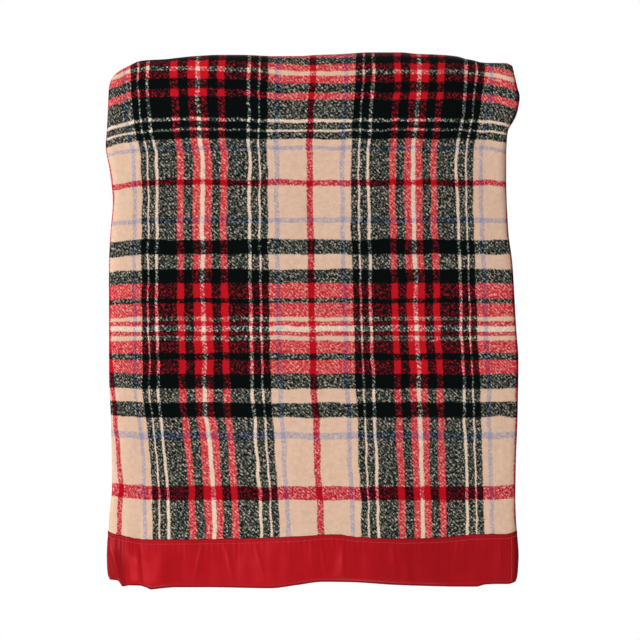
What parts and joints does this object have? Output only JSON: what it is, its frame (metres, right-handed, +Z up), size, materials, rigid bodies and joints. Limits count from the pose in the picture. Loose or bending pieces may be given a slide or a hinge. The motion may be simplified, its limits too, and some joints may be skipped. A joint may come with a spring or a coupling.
{
  "type": "camp blanket",
  "caption": "Tartan wool camp blanket with satin-bound ends, folded along its length and hung over a rail; each leaf lifts outward.",
  "frame": {"origin": "middle of the rail that the blanket hangs over, on the rail's axis", "axes": "+X along the rail from the folded edge to the selvedges, +Y from the front leaf to the back leaf, +Z up"},
  "size_m": [0.7482, 0.0762, 0.967],
  "materials": {
    "wool_tartan": "napped woollen twill in a beige ground with black, red, cream and pale blue checks",
    "satin_binding": "soft satin, red, lightly puckered",
    "sewing_thread": "spun polyester thread, red",
    "label_tape": "woven tape, off-white, blank"
  },
  "bodies": {
    "ridge": {"wool_panel_ridge": "wool_tartan"},
    "front_leaf": {"wool_panel_front_leaf": "wool_tartan", "foot_binding": "satin_binding", "foot_needle_thread": "sewing_thread", "foot_bobbin_thread": "sewing_thread", "foot_end_seam_outer": "sewing_thread", "foot_end_seam_inner": "sewing_thread"},
    "back_leaf": {"wool_panel_back_leaf": "wool_tartan", "head_binding": "satin_binding", "head_needle_thread": "sewing_thread", "head_bobbin_thread": "sewing_thread", "head_end_seam_outer": "sewing_thread", "head_end_seam_inner": "sewing_thread", "care_label": "label_tape", "care_label_stitching": "sewing_thread"}
  },
  "joints": [
    {"name": "front_leaf_swing", "type": "hinge", "parent": "ridge", "child": "front_leaf", "pos_m": [0, -0.036, 0], "axis": [-1, 0, 0], "range_deg": [0, 90]},
    {"name": "back_leaf_swing", "type": "hinge", "parent": "ridge", "child": "back_leaf", "pos_m": [0, 0.036, 0], "axis": [1, 0, 0], "range_deg": [0, 90]}
  ]
}
